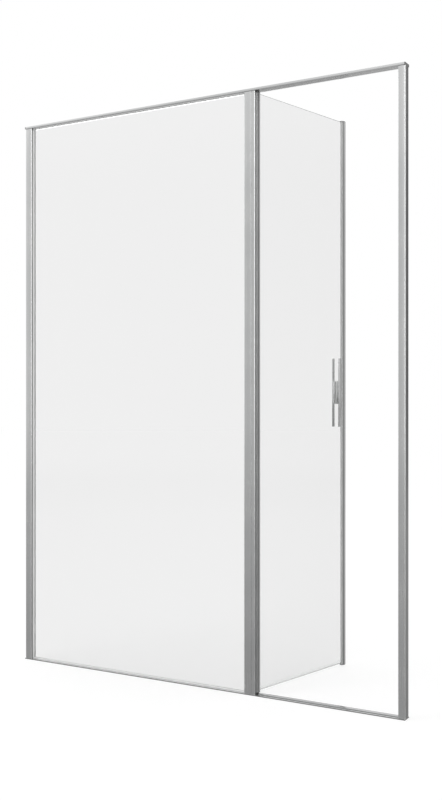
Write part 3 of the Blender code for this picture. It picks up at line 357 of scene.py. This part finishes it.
def aluminium(name, tones, stretch, roughness, painted_light=()):
    """Anodised extrusion: fine die lines along its length, faint clouds in tint and gloss.

    Each accent is painted light: it gives the places that it picks, and their own tones of painted
    highlight or painted shade.
    """
    material, tree, shader = new_material(name)
    lines = noise(tree, stretch, LINE_NOISE)
    clouds = noise(tree, EVEN, CLOUD_NOISE)
    patches = spread(tree, clouds, CLOUD_MIDDLE, 0, 1)
    tint = mixed(tree, patches, *tones)
    for picked, painted_tones in painted_light:
        tint = mixed(tree, picked(tree), tint, mixed(tree, patches, *painted_tones))
    streaks = spread(tree, lines, NOISE_MIDDLE, -ROUGHNESS_DRIFT, ROUGHNESS_DRIFT)
    haze = spread(tree, clouds, NOISE_MIDDLE, roughness - ROUGHNESS_DRIFT,
                  roughness + ROUGHNESS_DRIFT)
    feed(tree, shader, Base_Color=tint, Metallic=1.0, Roughness=maths(tree, "ADD", streaks, haze),
         Normal=bump(tree, lines, LINE_BUMP))
    return material


def steel(name):
    """Stainless screw steel with fine turning marks."""
    material, tree, shader = new_material(name)
    marks = noise(tree, EVEN, TURNING_NOISE)
    feed(tree, shader, Base_Color=mixed(tree, marks, *STEEL_TONES), Metallic=1.0,
         Roughness=spread(tree, marks, NOISE_MIDDLE, *STEEL_ROUGHNESS),
         Normal=bump(tree, marks, TURNING_BUMP))
    return material


def moulded(name, tones, grain, roughness):
    """Moulded plastic or rubber with a fine matt grain."""
    material, tree, shader = new_material(name)
    fine = noise(tree, EVEN, grain)
    broad = noise(tree, EVEN, BROAD_NOISE)
    feed(tree, shader, Base_Color=mixed(tree, spread(tree, broad, NOISE_MIDDLE, 0, 1), *tones),
         Roughness=spread(tree, fine, NOISE_MIDDLE, *roughness),
         Normal=bump(tree, fine, MOULD_BUMP))
    return material


def lets_lamps_through(tree, shader, tint):
    """Turn clear for shadow rays, so that the piece casts a faint tinted shadow."""
    path = add_node(tree, "ShaderNodeLightPath")
    clear = feed(tree, add_node(tree, "ShaderNodeBsdfTransparent"), Color=(*tint, 1))
    shade_by(tree, path.outputs["Is Shadow Ray"], shader, clear)


def clear_glass(name, face_normal):
    """Toughened glass: nearly neutral through its faces, green along its ground edges."""
    material, tree, shader = new_material(name)
    looking = maths(tree, "ABSOLUTE", facing(tree, face_normal), 0)
    edge = spread(tree, looking, GLASS_EDGE_TURN, 1, 0)
    ground = noise(tree, EVEN, GROUND_NOISE)
    frost = maths(tree, "MULTIPLY", edge, spread(tree, ground, NOISE_MIDDLE, *GROUND_ROUGHNESS))
    feed(tree, shader, Base_Color=mixed(tree, edge, GLASS_FACE, GLASS_EDGE), Roughness=frost,
         IOR=GLASS_IOR, Transmission_Weight=1.0)
    lets_lamps_through(tree, shader, GLASS_SHADOW)
    return material


def clear_plastic(name):
    """Clear soft plastic of the wiper, a little cloudy."""
    material, tree, shader = new_material(name)
    cloud = noise(tree, EVEN, WIPER_NOISE)
    feed(tree, shader, Base_Color=(*WIPER_TINT, 1), IOR=WIPER_IOR, Transmission_Weight=1.0,
         Roughness=spread(tree, cloud, NOISE_MIDDLE, *WIPER_ROUGHNESS))
    lets_lamps_through(tree, shader, WIPER_TINT)
    return material


# CAD nodes: a smoothing modifier and a finish each

def smoothing_group():
    """Joins the imported triangles and shades gentle bends smooth."""
    group = bpy.data.node_groups.new("joined_and_smooth", "GeometryNodeTree")
    for in_out in ("INPUT", "OUTPUT"):
        group.interface.new_socket("Geometry", in_out=in_out, socket_type="NodeSocketGeometry")
    start = add_node(group, "NodeGroupInput")
    merge = feed(group, add_node(group, "GeometryNodeMergeByDistance"), Distance=WELD)
    forget = feed(group, add_node(group, "GeometryNodeRemoveAttribute"), Name="custom_normal")
    faces = feed(group, add_node(group, "GeometryNodeSetShadeSmooth", domain="FACE"),
                 Shade_Smooth=True)
    edges = add_node(group, "GeometryNodeSetShadeSmooth", domain="EDGE")
    angle = add_node(group, "GeometryNodeInputMeshEdgeAngle")
    gentle = add_node(group, "FunctionNodeCompare", data_type="FLOAT", operation="LESS_THAN")
    end = add_node(group, "NodeGroupOutput")
    chain = (start, merge, forget, faces, edges, end)
    for first, second in zip(chain, chain[1:]):
        group.links.new(first.outputs[0], second.inputs[0])
    feed(group, gentle, A=angle.outputs["Unsigned Angle"], B=SMOOTH_ANGLE)
    feed(group, edges, Shade_Smooth=gentle.outputs["Result"])
    return group


def soften_edges(obj):
    """Small soft edges, as moulded and cut soft parts have them."""
    modifier = obj.modifiers.new("soft_edges", "BEVEL")
    modifier.width = SOFT_EDGE
    modifier.segments = 2
    modifier.limit_method = "ANGLE"
    modifier.angle_limit = SMOOTH_ANGLE
    modifier.use_clamp_overlap = True


def dress(node, material, smoothing, soft):
    obj = frame["nodes"][node]
    for slot in obj.material_slots:
        slot.link = "OBJECT"
        slot.material = material
    modifier = obj.modifiers.new("joined_and_smooth", "NODES")
    modifier.node_group = smoothing
    if soft:
        soften_edges(obj)


def upright_metal(name, tones, roughness, painted_light=()):
    return aluminium(name, tones, UPRIGHT_GRAIN, roughness, painted_light)


def level_metal(name, tones, roughness, painted_light=()):
    return aluminium(name, tones, LEVEL_GRAIN, roughness, painted_light)


def node_finishes():
    """Finishes of the nodes that don't take their slot's, several with painted highlights and painted
    shade.
    """
    rail = level_metal("frame_aluminium_level", FRAME_TONES, RAIL_ROUGHNESS)
    finishes = {node: rail for node in LEVEL_NODES}
    finishes["fixed_glass"] = clear_glass("fixed_clear_glass", TO_SHOWER)
    finishes["door_glass"] = clear_glass("door_clear_glass", DOOR_NORMAL)
    # Hinge profile: painted shade on its front and a painted highlight on its glass lips
    finishes["hinge_profile"] = upright_metal("hinge_aluminium_painted_light", HINGE_TONES, HINGE_ROUGHNESS, [
        (turned_to(TO_ROOM, HINGE_FRONT_TURN), HINGE_FRONT_SHADE_TONES),
        (lying_beyond(ALONG_LEAF, LIPS_HIGHLIGHT_START, LIPS_HIGHLIGHT_FULL), PAINTED_HIGHLIGHT_TONES)])
    # Sill: painted shade on its front
    finishes["sill"] = level_metal("sill_aluminium_painted_shade", SILL_TONES, RAIL_ROUGHNESS, [
        (turned_to(TO_ROOM), SILL_FRONT_SHADE_TONES)])
    # Left post: a painted highlight on its corner and painted shade on its right side
    finishes["left_post"] = upright_metal("left_post_aluminium_painted_light", FRAME_TONES, POST_ROUGHNESS, [
        (turned_to(TO_CORNER, POST_CORNER_TURN), PAINTED_HIGHLIGHT_TONES),
        (turned_to(TO_RIGHT, POST_SIDE_TURN), POST_SIDE_SHADE_TONES)])
    # Hinge jamb: a painted highlight on its nose
    finishes["hinge_jamb"] = upright_metal("hinge_jamb_aluminium_painted_highlight", FRAME_TONES, POST_ROUGHNESS, [
        (turned_to(TO_RIGHT, JAMB_NOSE_TURN), PAINTED_HIGHLIGHT_TONES)])
    finishes["cover_strip"] = level_metal("cover_strip_aluminium", COVER_TONES, CHANNEL_ROUGHNESS)
    # Wall channels: a painted highlight on their fronts, and painted shade by their darker tone
    channel = upright_metal("channel_aluminium_painted_light", CHANNEL_SHADE_TONES, CHANNEL_ROUGHNESS, [
        (turned_to(TO_ROOM), PAINTED_HIGHLIGHT_TONES)])
    cap = moulded("grey_moulded_plastic", CAP_TONES, HARD_GRAIN, MOULD_ROUGHNESS)
    for side in ("left", "right"):
        finishes["wall_channel_" + side] = channel
        finishes["rail_cap_" + side] = cap
    handle = upright_metal("handle_aluminium", HANDLE_TONES, HANDLE_ROUGHNESS)
    for node in ("handle_outer_block", "handle_inner_bar", "handle_inner_block"):
        finishes[node] = handle
    # Outer handle bar: a painted highlight on the faces turned away from the glass
    finishes["handle_outer_bar"] = upright_metal("outer_bar_aluminium_painted_highlight", HANDLE_TONES, HANDLE_ROUGHNESS, [
        (turned_to(OFF_GLASS, BAR_TURN), PAINTED_HIGHLIGHT_TONES)])
    # Edge profile: a painted highlight on the faces turned away from the glass and painted shade on its
    # slope
    finishes["edge_profile"] = upright_metal("edge_aluminium_painted_light", DOOR_TONES, DOOR_ROUGHNESS, [
        (turned_to(OFF_GLASS, EDGE_SIDE_TURN), PAINTED_HIGHLIGHT_TONES),
        (turned_to(EDGE_SLOPE, EDGE_SLOPE_TURN), EDGE_SLOPE_SHADE_TONES)])
    pad = moulded("milky_pad_plastic", PAD_TONES, SOFT_GRAIN, GASKET_ROUGHNESS)
    for node in ("handle_outer_pad", "handle_inner_pad"):
        finishes[node] = pad
    return finishes


def slot_finishes():
    """Finishes of the material slots. Both glasses have finishes of their own."""
    return {
        "frame_aluminium": upright_metal("frame_aluminium_upright", FRAME_TONES, POST_ROUGHNESS),
        "door_aluminium": upright_metal("door_aluminium_upright", DOOR_TONES, DOOR_ROUGHNESS),
        "screw_steel": steel("stainless_steel"),
        "clear_seal": clear_plastic("clear_soft_plastic"),
        "pale_gasket": moulded("pale_glazing_seal", GASKET_TONES, SOFT_GRAIN, GASKET_ROUGHNESS),
        "magnet_strip": moulded("grey_magnetic_strip", MAGNET_TONES, MAGNET_GRAIN,
                                MAGNET_ROUGHNESS),
        "black_plastic": moulded("black_moulded_plastic", BLACK_TONES, HARD_GRAIN,
                                 MOULD_ROUGHNESS),
    }


def dress_nodes(by_node, by_slot):
    """Each node has its own finish or its slot's."""
    smoothing = smoothing_group()
    for part in frame["record"]["subparts"]:
        node = part["node"]
        slot = part["material_slot"]
        finish = by_node.get(node) or by_slot[slot]
        dress(node, finish, smoothing, slot in SOFT_SLOTS)


# Screws: each takes its place from its CAD node, along an axis given for it

def seat(node, axis):
    """The middle of a round node's far end along an axis."""
    obj = frame["nodes"][node]
    points = [obj.matrix_world @ vert.co for vert in obj.data.vertices]
    across = axis.orthogonal().normalized()
    middle = Vector((0, 0, 0))
    for way in (across, axis.cross(across)):
        reach = [point.dot(way) for point in points]
        middle += way * (min(reach) + max(reach)) / 2
    return middle + axis * max(point.dot(axis) for point in points)


def circle(sides, radius):
    turns = [math.tau * side / sides for side in range(sides)]
    return [(radius * math.cos(turn), radius * math.sin(turn)) for turn in turns]


def cross_outline(reach, half):
    """Outline of a cross recess, its arms along X and Y."""
    arm = [(half, half), (half, reach), (-half, reach)]
    outline = []
    for cosine, sine in ((1, 0), (0, 1), (-1, 0), (0, -1)):
        outline += [(x * cosine - y * sine, x * sine + y * cosine) for x, y in arm]
    return outline


def screw_mesh(name, profile, recess, depth, floor_share):
    """Turned screw: a profile of (radius, height) from the head's rim down, and a sunk recess."""
    mesh = bpy.data.meshes.new(name)
    work = bmesh.new()
    rings = [[work.verts.new((x, y, height)) for x, y in circle(SCREW_SIDES, radius)]
             for radius, height in profile]
    for upper, lower in zip(rings, rings[1:]):
        for step in range(SCREW_SIDES):
            after = (step + 1) % SCREW_SIDES
            work.faces.new((upper[step], lower[step], lower[after], upper[after]))
    work.faces.new(rings[-1][::-1])
    top = profile[0][1]
    mouth = [work.verts.new((x, y, top)) for x, y in recess]
    floor = [work.verts.new((x * floor_share, y * floor_share, top - depth)) for x, y in recess]
    count = len(recess)
    rim_edges = [work.edges.new((mouth[step], mouth[(step + 1) % count])) for step in range(count)]
    for step in range(count):
        after = (step + 1) % count
        work.faces.new((mouth[step], mouth[after], floor[after], floor[step]))
    work.faces.new(floor)
    head_edges = [work.edges.get((rings[0][step], rings[0][(step + 1) % SCREW_SIDES]))
                  for step in range(SCREW_SIDES)]
    bmesh.ops.triangle_fill(work, use_beauty=True, edges=rim_edges + head_edges,
                            normal=(0, 0, 1))
    bmesh.ops.recalc_face_normals(work, faces=work.faces)
    for face in work.faces:
        face.smooth = len(face.verts) == 4 and face.verts[0] not in mouth
    work.to_mesh(mesh)
    work.free()
    return mesh


def place_screw(node, mesh, axis, body, material):
    screw = bpy.data.objects.new(node + "_detailed", mesh)
    screw.rotation_euler = axis.to_track_quat("Z", "Y").to_euler()
    screw.location = seat(node, axis)
    bpy.context.scene.collection.objects.link(screw)
    if not mesh.materials:
        mesh.materials.append(material)
    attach(screw, body)
    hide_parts(node)


def make_screws(material):
    """Cross recesses in the frame's screws and hex sockets in the handle's bolts."""
    cross = cross_outline(CROSS_REACH, CROSS_HALF)
    rounding = [(SIDE_HEAD_RADIUS - SIDE_HEAD_RIM * (1 - math.sin(turn)),
                 -SIDE_HEAD_RIM * (1 - math.cos(turn)))
                for turn in (math.pi / 2 * step / HEAD_STEPS for step in range(HEAD_STEPS + 1))]
    side = screw_mesh("side_screw", rounding + [
        (SIDE_HEAD_RADIUS, -SIDE_HEAD_HEIGHT), (SCREW_RADIUS, -SIDE_HEAD_HEIGHT),
        (SCREW_RADIUS, -SIDE_SCREW_LENGTH)], cross, CROSS_DEPTH, CROSS_FLOOR_SHARE)
    corner = screw_mesh("corner_screw", [
        (CORNER_HEAD_RADIUS, 0), (SCREW_RADIUS, -CORNER_HEAD_DEPTH),
        (SCREW_RADIUS, -CORNER_SCREW_LENGTH)], cross, CROSS_DEPTH, CROSS_FLOOR_SHARE)
    bolt = screw_mesh("handle_bolt", [
        (BOLT_HEAD_RADIUS, 0), (BOLT_RADIUS, -BOLT_HEAD_DEPTH), (BOLT_RADIUS, -BOLT_LENGTH)],
        circle(HEX_SIDES, HEX_REACH), HEX_DEPTH, HEX_FLOOR_SHARE)
    for end in ("left", "right"):
        for number in range(1, SIDE_SCREWS + 1):
            place_screw(f"side_screw_{end}_{number}", side, Vector(TO_SHOWER), "frame", material)
    for post in ("left", "mid", "strike"):
        place_screw(f"rail_screw_{post}", corner, Vector((0, 0, 1)), "frame", material)
        place_screw(f"sill_screw_{post}", corner, Vector((0, 0, -1)), "frame", material)
    for place in ("lower", "upper"):
        place_screw(f"handle_bolt_{place}", bolt, Vector(DOOR_NORMAL), "door", material)


# Studio

def seen_or_mirrored(tree):
    """1 for what the camera sees, directly, mirrored or through glass, else 0."""
    path = add_node(tree, "ShaderNodeLightPath")
    direct = maths(tree, "MAXIMUM", path.outputs["Is Camera Ray"], path.outputs["Is Glossy Ray"])
    return maths(tree, "MAXIMUM", direct, path.outputs["Is Transmission Ray"])


def make_world():
    """White where it is seen, and a plain soft fill on the object."""
    world = bpy.data.worlds.new("studio")
    bpy.context.scene.world = world
    world.use_nodes = True
    tree = world.node_tree
    strength = spread(tree, seen_or_mirrored(tree), (0, 1), FILL_LIGHT, 1)
    feed(tree, tree.nodes["Background"], Color=(1, 1, 1, 1), Strength=strength)


def plain_shader(tree, kind, level):
    """A shader of one grey."""
    return feed(tree, add_node(tree, kind), Color=(level, level, level, 1))


def make_floor():
    """Pale floor: it is seen nearly white and keeps the object's soft shadow."""
    material, tree, shader = new_material("pale_floor")
    tree.nodes.remove(shader)
    plain = plain_shader(tree, "ShaderNodeBsdfDiffuse", FLOOR_COLOUR)
    shade = plain_shader(tree, "ShaderNodeBsdfDiffuse", FLOOR_SHADE)
    glow = feed(tree, add_node(tree, "ShaderNodeEmission"), Strength=1 - FLOOR_SHADE * FILL_LIGHT)
    seen = add_node(tree, "ShaderNodeAddShader")
    tree.links.new(shade.outputs["BSDF"], seen.inputs[0])
    tree.links.new(glow.outputs["Emission"], seen.inputs[1])
    shade_by(tree, seen_or_mirrored(tree), plain, seen)
    mesh = bpy.data.meshes.new("floor")
    work = bmesh.new()
    bmesh.ops.create_circle(work, cap_ends=True, segments=FLOOR_SIDES, radius=FLOOR_RADIUS)
    work.to_mesh(mesh)
    work.free()
    mesh.materials.append(material)
    floor = bpy.data.objects.new("floor", mesh)
    floor.location = (0, 0, FLOOR_LEVEL)
    bpy.context.scene.collection.objects.link(floor)


def surround_level(tree):
    """Grey of the surround: the floor's below the skirting, above it compass times height."""
    place = add_node(tree, "ShaderNodeTexCoord")
    parts = add_node(tree, "ShaderNodeSeparateXYZ")
    tree.links.new(place.outputs["Object"], parts.inputs[0])
    across, along, up = (parts.outputs[name] for name in "XYZ")
    flat = feed(tree, add_node(tree, "ShaderNodeCombineXYZ"), X=across, Y=along)
    reach = add_node(tree, "ShaderNodeVectorMath", operation="LENGTH")
    tree.links.new(flat.outputs["Vector"], reach.inputs[0])
    turn = maths(tree, "ARCTAN2", across, maths(tree, "MULTIPLY", along, -1))
    compass = ramp(tree, spread(tree, turn, (-math.pi, math.pi), 0, 1), COMPASS_LEVELS)
    rise = spread(tree, up, (SURROUND_CENTRE, SURROUND_CENTRE + SURROUND_RADIUS), 0, 1)
    height = ramp(tree, rise, HEIGHT_LEVELS)
    out = spread(tree, reach.outputs["Value"], (0, SURROUND_RADIUS), 0, 1)
    ground = ramp(tree, out, FLOOR_LEVELS)
    wall = mixed(tree, 1, height, compass, "MULTIPLY")
    return mixed(tree, spread(tree, up, (0, SKIRTING), 0, 1), ground, wall)


def make_surround():
    """Studio wall, ceiling and floor that the metal and glass mirror, also through glass."""
    mesh = bpy.data.meshes.new("studio_surround")
    work = bmesh.new()
    bmesh.ops.create_uvsphere(work, u_segments=SURROUND_SEGMENTS, v_segments=SURROUND_RINGS,
                              radius=SURROUND_RADIUS)
    for vert in work.verts:
        vert.co.z = max(vert.co.z + SURROUND_CENTRE, SURROUND_LEVEL)
    work.to_mesh(mesh)
    work.free()
    material, tree, shader = new_material("studio_surround")
    tree.nodes.remove(shader)
    path = add_node(tree, "ShaderNodeLightPath")
    mirrored = maths(tree, "GREATER_THAN", path.outputs["Glossy Depth"], ONCE_MIRRORED)
    past_glass = maths(tree, "GREATER_THAN", path.outputs["Transmission Depth"], THROUGH_A_PANE)
    behind_glass = maths(tree, "MULTIPLY", path.outputs["Is Reflection Ray"], past_glass)
    glow = add_node(tree, "ShaderNodeEmission")
    feed(tree, glow, Color=mixed(tree, behind_glass, surround_level(tree), BEHIND_GLASS_LEVEL))
    shade_by(tree, mirrored, add_node(tree, "ShaderNodeBsdfTransparent"), glow)
    mesh.materials.append(material)
    surround = bpy.data.objects.new("studio_surround", mesh)
    bpy.context.scene.collection.objects.link(surround)
    for kind in ("camera", "diffuse", "volume_scatter", "shadow"):
        setattr(surround, "visible_" + kind, False)


def make_lamp():
    light = bpy.data.lights.new("key_lamp", "AREA")
    light.shape = "DISK"
    light.size = LAMP_SIZE
    light.energy = LAMP_POWER
    lamp = bpy.data.objects.new("key_lamp", light)
    lamp.location = LAMP_PLACE
    way = Vector(LAMP_TARGET) - Vector(LAMP_PLACE)
    lamp.rotation_euler = way.to_track_quat("-Z", "Y").to_euler()
    bpy.context.scene.collection.objects.link(lamp)
    lamp.visible_camera = False
    lamp.visible_glossy = False
    lamp.visible_transmission = False


def make_camera():
    data = bpy.data.cameras.new("camera")
    data.sensor_fit = "AUTO"
    data.sensor_width = SENSOR_MM
    data.lens = FOCAL_LENGTH_PX / PHOTO_HEIGHT_PX * SENSOR_MM
    camera = bpy.data.objects.new("camera", data)
    camera.location = CAMERA_PLACE
    camera.rotation_euler = (math.pi / 2, 0, CAMERA_HEADING)
    bpy.context.scene.collection.objects.link(camera)
    bpy.context.scene.camera = camera


slots = slot_finishes()
dress_nodes(node_finishes(), slots)
make_screws(slots["screw_steel"])
make_world()
make_floor()
make_surround()
make_lamp()
make_camera()
bpy.context.scene.view_settings.view_transform = "Standard"

bpy.context.view_layer.update()
